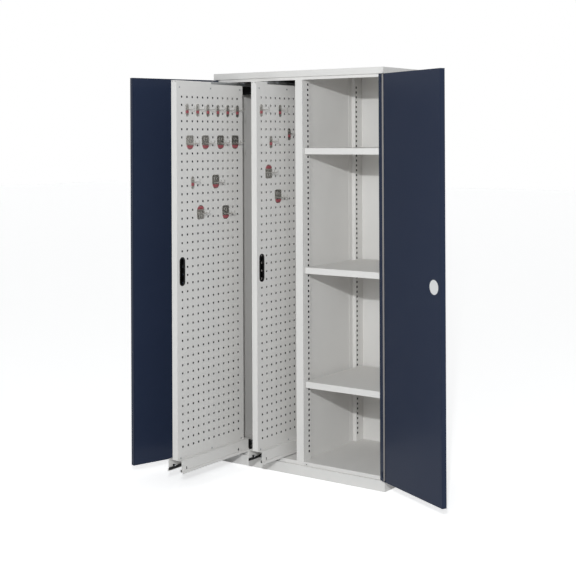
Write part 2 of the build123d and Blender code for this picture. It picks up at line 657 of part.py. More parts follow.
def panel_screws():
    """Screw heads near the panel's top edge and the heads of the rollers' axles."""
    z = PANEL_TOP - SCREW_DROP
    half, end = PANEL_T / 2, CARRIAGE_IN - ROLLER_W
    screws = []
    for y in (SCREW_INSET, PANEL_D / 2, PANEL_D - SCREW_INSET):
        screws.append(rod_x(half, half + SCREW_PROUD, y, z, SCREW_R))
        screws.append(rod_x(-half - SCREW_PROUD, -half, y, z, SCREW_R))
    for y in ROLLER_YS:
        screws.append(rod_x(end - AXLE_HEAD_T, end, y, ROLLER_Z, AXLE_HEAD_R))
        screws.append(rod_x(-end, -end + AXLE_HEAD_T, y, ROLLER_Z, AXLE_HEAD_R))
    return screws


def inner_slides():
    """Rails, rollers and rear guide blocks on the inside of the carriage's skirts."""
    solids = []
    rear = PANEL_D + CARRIAGE_OVERRUN
    low = INNER_RAIL_Z0
    for way in (-1, 1):
        x0, x1 = sorted((way * CARRIAGE_IN, way * (CARRIAGE_IN - INNER_RAIL_W)))
        w0, w1 = sorted((way * CARRIAGE_IN, way * (CARRIAGE_IN - ROLLER_W)))
        rail = block(x0, x1, 0, rear, low, INNER_RAIL_Z1)
        rail += block(x0, x1, rear, rear + GUIDE_BLOCK_D, low, low + GUIDE_BLOCK_H)
        solids.append(rail)
        solids += [rod_x(w0, w1, y, ROLLER_Z, ROLLER_R) for y in ROLLER_YS]
    return solids


def top_guide():
    """Channel on the panel's top edge, closed in front by a plate with two holes."""
    t = TOP_INNER_W / 2
    guide = block(-t, t, 0, PANEL_D, TOP_Z0, TOP_INNER_Z1)
    guide -= block(-t + TOP_T, t - TOP_T, TOP_T, PANEL_D + 1, TOP_Z0 - 1, TOP_INNER_Z1 - TOP_T)
    for x in (-TOP_HOLE_X, TOP_HOLE_X):
        guide -= rod_y(x, -1, TOP_T + 1, TOP_Z0 + TOP_HOLE_RISE, TOP_HOLE_R)
    return guide


def bottom_channel(half, y0, y1, z0, z1):
    body = block(-half, half, y0, y1, z0, z1)
    return body - block(-half + RAIL_T, half - RAIL_T, y0 - 1, y1 + 1, z0 + RAIL_T, z1 + 1)


def top_channel(half, z1, y0, y1):
    body = block(-half, half, y0, y1, TOP_Z0 + TOP_SKIRT_GAP, z1)
    return body - block(-half + TOP_T, half - TOP_T, y0 - 1, y1 + 1, TOP_Z0, z1 - TOP_T)


TOP_MIDDLE_Z1 = TOP_INNER_Z1 + RUN_GAP + TOP_T
TOP_OUTER_Z1 = TOP_MIDDLE_Z1 + RUN_GAP + TOP_T
TOP_MIDDLE_HALF = TOP_INNER_W / 2 + TOP_SIDE_STEP
TOP_OUTER_HALF = TOP_MIDDLE_HALF + TOP_SIDE_STEP


def middle_slides(y0):
    """Half-travel members: a bottom channel and a top channel, y0 is their front."""
    y1 = y0 + PANEL_D
    rail = bottom_channel(MIDDLE_HALF, y0, y1, MIDDLE_Z, INNER_RAIL_Z1)
    return [rail, top_channel(TOP_MIDDLE_HALF, TOP_MIDDLE_Z1, y0, y1)]


def fixed_bottom_rail():
    half = MIDDLE_HALF + RUN_GAP + RAIL_T
    return bottom_channel(half, FRAME_Y + SHEET, BACK_Y - RAIL_REAR_GAP, FLOOR_Z, FLOOR_Z + OUTER_H)


def fixed_top_rail():
    return top_channel(TOP_OUTER_HALF, TOP_OUTER_Z1, FRAME_Y + SHEET, BACK_Y - RAIL_REAR_GAP)


def guide_carriers():
    """Two cross channels that hold the top rails, each with a drop plate at its ends."""
    x0, x1 = -HALF + SHEET, WALL_X - SHEET
    feet = ((x0, -INNER_X + CARRIER_FOOT), (DIVIDER_LEFT - CARRIER_FOOT, x1))
    carriers = []
    for start in CARRIER_YS:
        y0 = FRONT + start
        y1 = y0 + CARRIER_D
        body = block(x0, x1, y0, y1, TOP_OUTER_Z1, TOP_OUTER_Z1 + SHEET)
        body += block(x0, x1, y0, y0 + SHEET, TOP_OUTER_Z1 + SHEET, CAP_Z)
        body += block(x0, x1, y1 - SHEET, y1, TOP_OUTER_Z1 + SHEET, CAP_Z)
        for f0, f1 in feet:
            body += block(f0, f1, y0, y0 + SHEET, TOP_OUTER_Z1 - CARRIER_DROP, TOP_OUTER_Z1)
        carriers.append(body)
    return group(carriers)


def plate_centre(column, row, width, flipped):
    """Distance from the panel's front edge and height of one hook plate's centre."""
    y = column_y(column) + (PITCH / 2 if width > NARROW_W else 0)
    z = (row_z(row) + row_z(row + 1)) / 2
    return y, z + (PLATE_DROP if flipped else -PLATE_DROP)


def hook(column, row, width, flipped):
    """One clip plate with its pegs and bent wires; X is across the panel."""
    face = PANEL_T / 2
    wide = width > NARROW_W
    half_h = (WIDE_H if wide else NARROW_H) / 2
    y, z = plate_centre(column, row, width, flipped)
    plate = block(face, face + PLATE_T, y - width / 2, y + width / 2, z - half_h, z + half_h)
    plate = fillet(plate.edges().filter_by(Axis.X), PLATE_CORNER)
    z_up = row_z(row)
    for peg_column in (column, column + 1) if wide else (column,):
        cy = column_y(peg_column)
        plate += block(face - 2 * PANEL_SKIN, face, cy - PEG / 2, cy + PEG / 2, z_up - PEG / 2, z_up + PEG / 2)
    wire_z = z + (WIDE_WIRE_RISE if wide else NARROW_WIRE_RISE)
    reach = face + PLATE_T
    tip_x = reach + HOOK_REACH
    for arm in (y - width / 4, y + width / 4) if wide else (y,):
        plate += rod_x(reach, tip_x, arm, wire_z, WIRE_R)
        plate += Pos(tip_x, arm, wire_z) * Sphere(WIRE_R)
        plate += rod_z(tip_x, arm, wire_z, wire_z + HOOK_TIP, WIRE_R)
    return plate


def hook_label(column, row, width, flipped):
    face = PANEL_T / 2 + PLATE_T
    y, z = plate_centre(column, row, width, flipped)
    drop = WIDE_LABEL_DROP if width > NARROW_W else NARROW_LABEL_DROP
    mid = z + (drop if flipped else -drop)
    half = width / 2 - LABEL_SIDE
    return block(face, face + LABEL_T, y - half, y + half, mid - LABEL_H / 2, mid + LABEL_H / 2)


def hook_sets(index):
    rows = [(c, r, NARROW_W, False) for c, r in NARROW_HOOKS[index]]
    rows += [(c, r, WIDE_W, False) for c, r in WIDE_HOOKS[index]]
    rows += [(c, r, WIDE_W, True) for c, r in FLIPPED_HOOKS[index]]
    return rows


def main():
    save("plinth", plinth())
    save("top_cap", top_cap())
    save("floor_pan", floor_pan())
    save("header_rail", header_rail())
    save("left_side_panel", side_panel(-1))
    save("right_side_panel", side_panel(1))
    save("back_panel", back_panel())
    save("divider_front_post", divider_front_post())
    save("divider_wall", divider_wall())
    save("divider_rear_post", rear_post(DIVIDER_RIGHT, WALL_X, ROOF_Z))
    save("right_rear_post", rear_post(INNER_X, HALF - SHEET, HEADER_Z))
    save("right_front_post", side_front_post(1, True))
    save("left_front_post", side_front_post(-1, False))
    for name, slot in zip(("lower_shelf", "middle_shelf", "upper_shelf"), SHELF_SLOTS):
        save(name, shelf(slot))
    save("shelf_clips", shelf_clips())
    save("hinge_pins", hinge_pins())
    save("guide_carriers", guide_carriers())
    save("bottom_rails", group(Pos(x, 0, 0) * fixed_bottom_rail() for x in PANEL_CENTRES))
    save("top_rails", group(Pos(x, 0, 0) * fixed_top_rail() for x in PANEL_CENTRES))

    skin, liner, stile = door_skin(), door_liner(), hinge_stile()
    for side, place in (("left", left_placed), ("right", right_placed)):
        own_skin, own_liner = skin, liner
        if side == "right":
            cover_hole = rod_y(LOCK_U, DOOR_IN - SHEET - 1, DOOR_IN + 1, LOCK_Z, COVER_R + COVER_FIT)
            own_liner = liner - cover_hole
            own_skin = skin - rod_y(LOCK_U, DOOR_OUT - 1, DOOR_OUT + SHEET + 1, LOCK_Z, SPINDLE_HOLE_R)
            for z in (DOOR_Z0, DOOR_Z1 - SHEET):
                own_skin -= rod_z(LOCK_U, ROD_OFFSET, z - 1, z + SHEET + 1, ROD_HOLE_R)
        save(f"{side}_door_skin", place(own_skin))
        save(f"{side}_door_liner", place(own_liner))
        save(f"{side}_hinge_stile", place(stile))
        save(f"{side}_hinge_bushes", group(place(bush) for bush in hinge_bushes()))
    upper_rod, lower_rod = lock_rods()
    save("lock_case", right_placed(lock_case()))
    save("lock_inner_cover", right_placed(lock_inner_cover()))
    save("lock_handle", right_placed(lock_handle()))
    save("lock_cylinder", right_placed(lock_cylinder()))
    save("upper_lock_rod", right_placed(upper_rod))
    save("lower_lock_rod", right_placed(lower_rod))

    half = PANEL_T / 2
    right_sheet = perforated_sheet(half - PANEL_SKIN, half)
    left_sheet = perforated_sheet(-half, -half + PANEL_SKIN)
    for index, (x, out) in enumerate(zip(PANEL_CENTRES, PANEL_OUT)):
        spot = Pos(x, FRONT - out, 0)
        name = f"panel_{index + 1}"
        save(f"{name}_frame", spot * panel_frame())
        save(f"{name}_right_sheet", spot * right_sheet)
        save(f"{name}_left_sheet", spot * left_sheet)
        save(f"{name}_grip_trims", group(spot * trim for trim in grip_trims()))
        save(f"{name}_edge_strip", spot * edge_strip())
        save(f"{name}_carriage", spot * carriage())
        save(f"{name}_screws", group(spot * screw for screw in panel_screws()))
        save(f"{name}_inner_slides", group(spot * slide for slide in inner_slides()))
        save(f"{name}_top_guide", spot * top_guide())
        half_way = FRONT + (SLIDE_START - out) / 2
        save(f"{name}_middle_slides", group(Pos(x, 0, 0) * s for s in middle_slides(half_way)))
        save(f"{name}_hooks", group(spot * hook(*place) for place in hook_sets(index)))
        save(f"{name}_hook_labels", group(spot * hook_label(*place) for place in hook_sets(index)))

main()
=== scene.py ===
# %% [markdown]
# # A steel tool cabinet with swing doors and pull-out panels
# The cabinet's sheet metal, slides and doors come from the CAD model, which is loaded
# as a fixed frame.  Blender gives each surface its finish, and makes the tool hooks,
# their red inserts and the screw heads, which need finer shapes than the solids have.

# %% Load the frame
import json
import math

import bmesh
import bpy
from mathutils import Matrix, Vector


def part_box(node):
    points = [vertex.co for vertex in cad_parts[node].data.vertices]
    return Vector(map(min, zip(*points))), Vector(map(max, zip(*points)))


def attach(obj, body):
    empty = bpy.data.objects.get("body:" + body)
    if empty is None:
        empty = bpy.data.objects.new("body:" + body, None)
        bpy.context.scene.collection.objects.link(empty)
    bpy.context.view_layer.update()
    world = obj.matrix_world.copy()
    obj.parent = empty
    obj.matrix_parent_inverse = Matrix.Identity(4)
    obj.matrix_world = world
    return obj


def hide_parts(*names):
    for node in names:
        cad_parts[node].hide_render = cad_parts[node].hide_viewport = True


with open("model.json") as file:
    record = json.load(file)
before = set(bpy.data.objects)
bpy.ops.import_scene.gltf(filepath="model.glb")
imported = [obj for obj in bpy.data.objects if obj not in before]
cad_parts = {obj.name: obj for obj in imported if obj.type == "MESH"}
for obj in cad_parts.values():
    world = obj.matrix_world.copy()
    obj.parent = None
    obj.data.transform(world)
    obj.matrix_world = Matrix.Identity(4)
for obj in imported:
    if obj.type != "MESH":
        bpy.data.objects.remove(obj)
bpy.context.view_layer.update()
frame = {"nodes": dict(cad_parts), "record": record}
MM = 0.001

# %% [markdown]
# Colours are written as sRGB hex values, as a paint card gives them.  Blender's shaders
# work in linear light, so one function turns each of them.  One more function adds a
# node to a tree, whatever its kind, which keeps each material short.

# %% Colour and node helpers


def linear(hex_colour):
    """RGBA in linear light from a colour such as "D7D8D6", by the sRGB curve."""
    channels = [int(hex_colour[i : i + 2], 16) / 255 for i in (0, 2, 4)]
    bent = [c / 12.92 if c <= 0.04045 else ((c + 0.055) / 1.055) ** 2.4 for c in channels]
    return (*bent, 1.0)


def add(tree, kind, inputs=None, **settings):
    """Add one node; an input that gets a socket is linked, and any other is set."""
    node = tree.nodes.new(kind)
    for name, value in settings.items():
        setattr(node, name, value)
    for key, value in (inputs or {}).items():
        if isinstance(value, bpy.types.NodeSocket):
            tree.links.new(value, node.inputs[key])
        else:
            node.inputs[key].default_value = value
    return node


print("half of full sRGB in linear light:", round(linear("808080")[0], 3))

# %% [markdown]
# ## Finishes
# No real surface has one flat colour.  So every finish here follows one recipe: a soft
# noise mixes two close tones and two values of roughness, and where the real surface has
# a texture the same noise is its height.  The noise reads Object coordinates, so the
# pattern stays on its piece when a door swings or a panel slides.

# %% One recipe for every finish
# A Mix node has sockets of one name for numbers, vectors and colours, so its colour
# sockets are picked by number.
MIX_FACTOR, MIX_FIRST, MIX_SECOND, MIX_RESULT = 0, 6, 7, 2


def finish(
    name,
    colours,
    roughness,
    grain,
    detail=2.0,
    tone=None,
    stretch=None,
    depth=None,
    mark=None,
    metallic=0.0,
    specular=0.5,
):
    """A material whose noise has blotches about grain metres across.

    detail is how many finer noises lie on top of it.  The colour follows a wider noise
    where tone gives its size.  stretch scales the coordinates, and depth is how far the
    surface rises with the noise, in metres.  mark holds a function that finds some
    places and the colour that they have instead.
    """
    material = bpy.data.materials.new(name)
    material.use_nodes = True
    tree = material.node_tree
    tree.nodes.clear()
    place = add(tree, "ShaderNodeTexCoord").outputs["Object"]
    if stretch:
        place = add(tree, "ShaderNodeMapping", {"Vector": place, "Scale": stretch}).outputs["Vector"]
    waves = add(
        tree, "ShaderNodeTexNoise", {"Vector": place, "Scale": 1.0 / grain, "Detail": detail}
    ).outputs["Fac"]
    shade = waves
    if tone:
        shade = add(tree, "ShaderNodeTexNoise", {"Vector": place, "Scale": 1.0 / tone}).outputs["Fac"]
    low, high = colours
    colour = add(
        tree,
        "ShaderNodeMix",
        {MIX_FACTOR: shade, MIX_FIRST: linear(low), MIX_SECOND: linear(high)},
        data_type="RGBA",
    ).outputs[MIX_RESULT]
    if mark:
        find, other = mark
        colour = add(
            tree,
            "ShaderNodeMix",
            {MIX_FACTOR: find(tree, place), MIX_FIRST: colour, MIX_SECOND: linear(other)},
            data_type="RGBA",
        ).outputs[MIX_RESULT]
    rough = add(
        tree,
        "ShaderNodeMapRange",
        {"Value": waves, "To Min": roughness[0], "To Max": roughness[1]},
    ).outputs["Result"]
    shader = add(
        tree,
        "ShaderNodeBsdfPrincipled",
        {
            "Base Color": colour,
            "Roughness": rough,
            "Metallic": metallic,
            "Specular IOR Level": specular,
        },
    )
    if depth:
        relief = add(tree, "ShaderNodeBump", {"Height": waves, "Strength": 1.0, "Distance": depth})
        tree.links.new(relief.outputs["Normal"], shader.inputs["Normal"])
    add(tree, "ShaderNodeOutputMaterial", {"Surface": shader.outputs["BSDF"]})
    print("made", name)
    return material


# %% [markdown]
# Inside the double panels and the slotted posts only shade falls, so the grey coat is
# painted near black there.  This is painted shade, and it makes every hole and slot read
# as black.  Painting single faces would need their numbers, which change with the model.
# A box round each closed channel finds them by their place.

# %% Painted shade inside the closed channels
SKIN = 1.5  # thickness of the sheets, in mm
REAR_POST_D = 66.0
PAINTED_EDGE = 0.2  # each box ends this far inside the outer faces, which are painted


def closed_spaces():
    """Low and high corner of each closed channel, in metres, with the sheets round it."""
    spaces = []
    for number in (1, 2):
        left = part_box(f"panel_{number}_left_sheet")
        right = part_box(f"panel_{number}_right_sheet")
        spaces.append((left[0], right[1]))
    wall_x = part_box("divider_wall")[1][0] - SKIN * MM
    side_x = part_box("right_side_panel")[1][0]
    for side in ("divider", "right"):
        for end in ("front", "rear"):
            low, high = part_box(f"{side}_{end}_post")
            x0, x1 = (wall_x, high[0]) if side == "divider" else (low[0], side_x)
            y0, y1 = low[1], high[1]
            if end == "rear":
                y0, y1 = high[1] - REAR_POST_D * MM, high[1] + SKIN * MM
            spaces.append(((x0, y0, low[2]), (x1, y1, high[2])))
    return spaces


def painted_shade_in_channels(tree, place):
    """1 in the closed channels, where near-black shade is painted on the grey coat, and 0 elsewhere.
    """
    found = 0.0
    for low, high in closed_spaces():
        middle = [(a + b) / 2 for a, b in zip(low, high)]
        half = [(b - a) / 2 - PAINTED_EDGE * MM for a, b in zip(low, high)]
        spot = place
        for operation, more in (("SUBTRACT", {1: middle}), ("ABSOLUTE", {}), ("DIVIDE", {1: half})):
            spot = add(
                tree, "ShaderNodeVectorMath", {0: spot, **more}, operation=operation
            ).outputs["Vector"]
        axes = add(tree, "ShaderNodeSeparateXYZ", {"Vector": spot}).outputs
        value = axes["X"]
        for operation, other in (
            ("MAXIMUM", axes["Y"]),
            ("MAXIMUM", axes["Z"]),
            ("LESS_THAN", 1.0),
            ("MAXIMUM", found),
        ):
            value = add(
                tree, "ShaderNodeMath", {0: value, 1: other}, operation=operation
            ).outputs["Value"]
        found = value
    return found


print("closed channels:", len(closed_spaces()))

# %% [markdown]
# The body is steel with a polyester powder coat in light grey.  The powder melts into a
# satin skin with a faint orange peel, waves of about 2 mm that are only a few hundredths
# of a millimetre deep.  They are drawn 4 mm apart, because real ones are too fine to show.

# %% Grey powder coat
PEEL = 4 * MM

# A satin light grey: soft, wide highlights that waver a little close up.  Inside the closed channels
# it carries painted shade, near black.
GREY = finish(
    "grey_powder_coat",
    ("E3E1DE", "E8E6E3"),
    roughness=(0.40, 0.50),
    grain=PEEL,
    detail=3.0,
    tone=180 * MM,
    depth=0.02 * MM,
    mark=(painted_shade_in_channels, "0C0C0C"),
    specular=0.35,
)

# %% [markdown]
# The doors have a smooth dark blue coat with a soft sheen.  Inside each door a groove runs
# along the hinge side, and its step wall catches a bright reflection, which is painted on
# as a pale grey strip.  This painted highlight is a finish on that wall, found by its
# distance from the hinge axis towards the door's free edge.

# %% Navy coat with the painted highlight
PIVOT_X = 487.0
PIVOT_Y = -287.0
LEFT_OPEN = 107.7  # degrees from shut, as the doors stand at rest
RIGHT_OPEN = 153.5
HIGHLIGHT_FROM_AXIS = 23.0
HIGHLIGHT_HALF = 0.5


def on_painted_highlight(tree, place):
    """1 on the step wall of each door's groove, where the highlight is painted, and 0 elsewhere."""
    found = 0.0
    for side, opened in ((-1, LEFT_OPEN), (1, RIGHT_OPEN)):
        angle = math.radians(opened)
        pivot = (side * PIVOT_X * MM, PIVOT_Y * MM, 0.0)
        to_free_edge = (-side * math.cos(angle), -math.sin(angle), 0.0)
        inward = (-side * math.sin(angle), math.cos(angle), 0.0)
        spot = add(
            tree, "ShaderNodeVectorMath", {0: place, 1: pivot}, operation="SUBTRACT"
        ).outputs["Vector"]
        along, across = (
            add(
                tree, "ShaderNodeVectorMath", {0: spot, 1: way}, operation="DOT_PRODUCT"
            ).outputs["Value"]
            for way in (to_free_edge, inward)
        )
        on_inside = add(
            tree, "ShaderNodeMath", {0: across, 1: 0.0}, operation="GREATER_THAN"
        ).outputs["Value"]
        value = along
        for operation, other in (
            ("SUBTRACT", HIGHLIGHT_FROM_AXIS * MM),
            ("ABSOLUTE", 0.0),
            ("LESS_THAN", HIGHLIGHT_HALF * MM),
            ("MULTIPLY", on_inside),
            ("MAXIMUM", found),
        ):
            value = add(
                tree, "ShaderNodeMath", {0: value, 1: other}, operation=operation
            ).outputs["Value"]
        found = value
    return found


# A smooth dark blue that mirrors the bright room faintly.  A pale grey strip on each groove's step
# wall is a painted highlight.
NAVY = finish(
    "navy_gloss_coat",
    ("262F44", "2A3347"),
    roughness=(0.20, 0.28),
    grain=PEEL,
    detail=3.0,
    tone=250 * MM,
    depth=0.015 * MM,
    mark=(on_painted_highlight, "A5A19D"),
    specular=0.1,
)

# %% [markdown]
# Slides, pins and clips are zinc-plated steel, and the hooks are nickel-plated.  Plating
# is a thin metal skin, so both are fully metallic and keep the default index.  Rolling
# leaves a grain along the strip, here a noise that is stretched along the slides.

# %% Metals
ALONG_SLIDES = (1.0, 0.02, 1.0)  # the noise is 50 times as long in Y

# A cool silver with fine streaks.
ZINC = finish(
    "zinc_plate",
    ("B4B7BA", "C8CBCD"),
    roughness=(0.28, 0.42),
    grain=1.5 * MM,
    detail=4.0,
    stretch=ALONG_SLIDES,
    metallic=1.0,
)
# A warmer, smoother silver with a faint cloud.
NICKEL = finish(
    "nickel_plate",
    ("BDBCB8", "CCCBC7"),
    roughness=(0.22, 0.34),
    grain=6 * MM,
    metallic=1.0,
)

# %% [markdown]
# Moulded plastics share a plain colour under the fine spark-eroded texture of the mould,
# about 0.4 mm a grain and drawn at 1 mm so that it shows close up.  It gives a dull,
# even sheen.  Black dip-coated steel and rubber look much the same, only duller, so they
# are in the same table.

# %% Plastics, black coat and rubber
MOULD_GRAIN = 1 * MM
MOULD_DEPTH = 0.03 * MM
ROUGHNESS_SPREAD = 0.12

# Name: two tones, lowest roughness, specular level.
PLASTICS = {
    "black_polyamide": (("0E0E0F", "161617"), 0.45, 0.4),
    "white_abs": (("E2E2E2", "E8E8E8"), 0.35, 0.4),
    "red_polystyrene": (("9E5258", "AC6066"), 0.35, 0.4),
    "black_dip_coat": (("101011", "1A1A1B"), 0.50, 0.2),
    "black_rubber": (("0A0A0A", "121212"), 0.80, 0.15),
}

moulded = {
    name: finish(
        name,
        tones,
        roughness=(lowest, lowest + ROUGHNESS_SPREAD),
        grain=MOULD_GRAIN,
        depth=MOULD_DEPTH,
        specular=specular,
    )
    for name, (tones, lowest, specular) in PLASTICS.items()
}

# %% [markdown]
# The CAD record names a material slot for each node, so one table from slot to finish
# covers every solid.  The meshes stay as they are.

# %% Give the CAD nodes their finishes
FINISHES = {
    "cabinet_grey": GREY,
    "door_navy": NAVY,
    "zinc_steel": ZINC,
    "black_steel": moulded["black_dip_coat"],
    "black_plastic": moulded["black_polyamide"],
    "black_rubber": moulded["black_rubber"],
    "hook_chrome": NICKEL,
    "label_red": moulded["red_polystyrene"],
    "white_plastic": moulded["white_abs"],
}

slot_of = {part["node"]: part["material_slot"] for part in frame["record"]["subparts"]}
for node, obj in frame["nodes"].items():
    for material_slot in obj.material_slots:
        material_slot.material = FINISHES[slot_of[node]]
print("finished", len(slot_of), "nodes")

# %% [markdown]
# ## Tool hooks
# Each hook is a pressed plate, nickel plated, with a bead round its rim, a small loop
# pressed into its upper part and a wire welded across it that runs out and turns up.
# A red insert clips in below the wire.  A plate, an insert and a screw head are each one
# outline, repeated further in at other heights.  A wire is a circle swept along a path.
# Written as mesh code, both take a few lines and few faces.

# %% Outlines and sweeps
CORNER_STEPS = 8
WIRE_SIDES = 8
END_TAPER = 0.7  # an open wire's ends are this share of its radius
NEAR_Y = 0.9  # a path this close to the Y axis needs another sideways direction


def outline(width, height, top, bottom):
    """Points round a rectangle in the YZ plane; top and bottom are corner radii."""
    half_w, half_h = width / 2, height / 2
    corners = (
        (half_w - top, half_h - top, top, 0),
        (-half_w + top, half_h - top, top, 90),
        (-half_w + bottom, -half_h + bottom, bottom, 180),
        (half_w - bottom, -half_h + bottom, bottom, 270),
    )
    points = []
    for y, z, radius, start in corners:
        for step in range(CORNER_STEPS + 1):
            angle = math.radians(start + 90 * step / CORNER_STEPS)
            points.append((y + radius * math.cos(angle), z + radius * math.sin(angle)))
    return points


def dished(size, top, bottom, profile):
    """Rings of one outline, each further in and at its own height, closed at both ends."""
    points = outline(*size, top, bottom)
    count = len(points)
    verts, faces = [], []
    for inset, height in profile:
        scale_y, scale_z = 1 - 2 * inset / size[0], 1 - 2 * inset / size[1]
        verts += [(height, y * scale_y, z * scale_z) for y, z in points]
    for ring in range(len(profile) - 1):
        for n in range(count):
            a, b = ring * count + n, ring * count + (n + 1) % count
            faces.append((a, b, b + count, a + count))
    faces.append(tuple(range(count))[::-1])
    faces.append(tuple(range((len(profile) - 1) * count, len(profile) * count)))
    return verts, faces


def sweep(path, radius, closed=False):
    """A round wire along a path; if it is open, its ends taper a little."""
    verts, faces = [], []
    last = len(path) - 1
    for n, point in enumerate(path):
        ahead = path[(n + 1) % len(path)] if closed else path[min(n + 1, last)]
        behind = path[n - 1] if closed else path[max(n - 1, 0)]
        along = (Vector(ahead) - Vector(behind)).normalized()
        if abs(along.y) > NEAR_Y:
            side = along.orthogonal()
        else:
            side = along.cross(Vector((0, 1, 0))).normalized()
        other = along.cross(side)
        taper = END_TAPER if not closed and n in (0, last) else 1.0
        for k in range(WIRE_SIDES):
            angle = 2 * math.pi * k / WIRE_SIDES
            spot = side * math.cos(angle) + other * math.sin(angle)
            verts.append(tuple(Vector(point) + spot * radius * taper))
    rings = len(path) if closed else last
    for n in range(rings):
        a, b = n * WIRE_SIDES, ((n + 1) % len(path)) * WIRE_SIDES
        for k in range(WIRE_SIDES):
            j = (k + 1) % WIRE_SIDES
            faces.append((a + k, b + k, b + j, a + j))
    if not closed:
        faces.append(tuple(range(WIRE_SIDES)))
        faces.append(tuple(range(last * WIRE_SIDES, (last + 1) * WIRE_SIDES))[::-1])
    return verts, faces


def joined(name, shapes):
    """One mesh object from lists of vertices in millimetres, with their faces."""
    verts, faces = [], []
    for shape_verts, shape_faces in shapes:
        start = len(verts)
        verts += [tuple(c * MM for c in v) for v in shape_verts]
        faces += [tuple(i + start for i in face) for face in shape_faces]
    mesh = bpy.data.meshes.new(name)
    mesh.from_pydata(verts, [], faces)
    work = bmesh.new()
    work.from_mesh(mesh)
    bmesh.ops.recalc_face_normals(work, faces=work.faces)
    work.to_mesh(mesh)
    work.free()
    pattern = bpy.data.objects.new(name, mesh)
    bpy.context.collection.objects.link(pattern)
    print(name, "faces:", len(mesh.polygons))
    return pattern


# %% [markdown]
# There are two plates, a narrow one with one wire and a wide one with two.  All sizes
# are in millimetres, with X out of the panel, Y to its rear and Z up.  A rim is a list
# of steps from the outside in, each an inset and a height above the panel's sheet.

# %% The two plates
NARROW = (26.0, 60.0)
NARROW_CORNER = 12.9
NARROW_LOOP = (13.0, 17.0)
NARROW_WIRE_RISE = 4.0  # wire above the plate's centre
WIDE = (57.0, 67.0)
WIDE_TOP_CORNER = 12.0
WIDE_LOW_CORNER = 27.0
WIDE_LOOP = (18.0, 19.0)
WIDE_WIRE_RISE = -4.0
PLATE_RIM = ((0.0, 0.0), (0.0, 1.2), (0.9, 2.2), (2.0, 2.2), (3.0, 1.3), (6.0, 1.1))
LOOP_R = 1.4
LOOP_PROUD = 1.3
LOOP_RISE = 16.0
LOOP_STRAIGHT = 0.1  # from each corner to the middle, so that no points fall together
BAR_R = 1.6
BAR_PROUD = 1.8
BAR_INSET = 1.0


def pressed_loop(width, height):
    corner = width / 2 - LOOP_STRAIGHT
    ring = outline(width, height, corner, corner)
    return sweep([(LOOP_PROUD, y, z + LOOP_RISE) for y, z in ring], LOOP_R, closed=True)


def cross_bar(width, height):
    """The part of the wire that lies across the plate."""
    end = width / 2 - BAR_INSET
    return sweep([(BAR_PROUD, y, height) for y in (-end, 0, end)], BAR_R)


narrow_plate = joined(
    "narrow_plate",
    [
        dished(NARROW, NARROW_CORNER, NARROW_CORNER, PLATE_RIM),
        pressed_loop(*NARROW_LOOP),
        cross_bar(NARROW[0], NARROW_WIRE_RISE),
    ],
)
wide_plate = joined(
    "wide_plate",
    [
        dished(WIDE, WIDE_TOP_CORNER, WIDE_LOW_CORNER, PLATE_RIM),
        pressed_loop(*WIDE_LOOP),
        cross_bar(WIDE[0], WIDE_WIRE_RISE),
    ],
)

# %% [markdown]
# The wire runs straight out, turns up round a bend and ends in a short tip that keeps a
# tool from sliding off.  The inserts are low red plates with a rounded rim, and the
# screws have low button heads.

# %% Wire, inserts and screw head
WIRE_R = 2.0
WIRE_START = 0.5
REACH = 46.0
TIP = 14.0
BEND = 6.0
BEND_STEPS = 6
INSERT_CORNER = 3.0
NARROW_INSERT = (20.0, 14.0)
WIDE_INSERT = (46.0, 15.0)
WIDE_INSERT_LOW_CORNER = 13.0
INSERT_RIM = ((0.0, 1.0), (0.0, 2.2), (0.8, 2.9), (3.0, 3.3))
SCREW = (8.4, 8.4)
SCREW_CORNER = 4.1
SCREW_RIM = ((0.0, 0.0), (0.0, 0.8), (0.6, 1.8), (1.6, 2.2), (2.3, 2.2), (2.4, 1.0))


def wire_path():
    """Out from the plate, round the bend and up to the tip."""
    path = [(WIRE_START, 0, 0), (REACH / 2, 0, 0), (REACH - BEND, 0, 0)]
    for step in range(1, BEND_STEPS + 1):
        angle = math.radians(90 * step / BEND_STEPS)
        path.append((REACH - BEND + BEND * math.sin(angle), 0, BEND - BEND * math.cos(angle)))
    return path + [(REACH, 0, TIP)]


wire_hook = joined("wire_hook", [sweep(wire_path(), WIRE_R)])
narrow_insert = joined(
    "narrow_insert", [dished(NARROW_INSERT, INSERT_CORNER, INSERT_CORNER, INSERT_RIM)]
)
wide_insert = joined(
    "wide_insert", [dished(WIDE_INSERT, INSERT_CORNER, WIDE_INSERT_LOW_CORNER, INSERT_RIM)]
)
screw_head = joined("screw_head", [dished(SCREW, SCREW_CORNER, SCREW_CORNER, SCREW_RIM)])

# %% [markdown]
# The same few shapes repeat over both panels, so Geometry Nodes put them on their
# places, and one tree serves all three sets.  It reads two attributes of each point: kind
# says which shape stands there and turn says how it is rotated.  The instances become
# real geometry at the end, because only a real mesh can be exported.

# %% The tree that repeats shapes on points
SHAPE_INPUTS = ("First shape", "Second shape", "Third shape")
COMPARE_FIRST, COMPARE_SECOND = 2, 3  # the Compare node's sockets for whole numbers


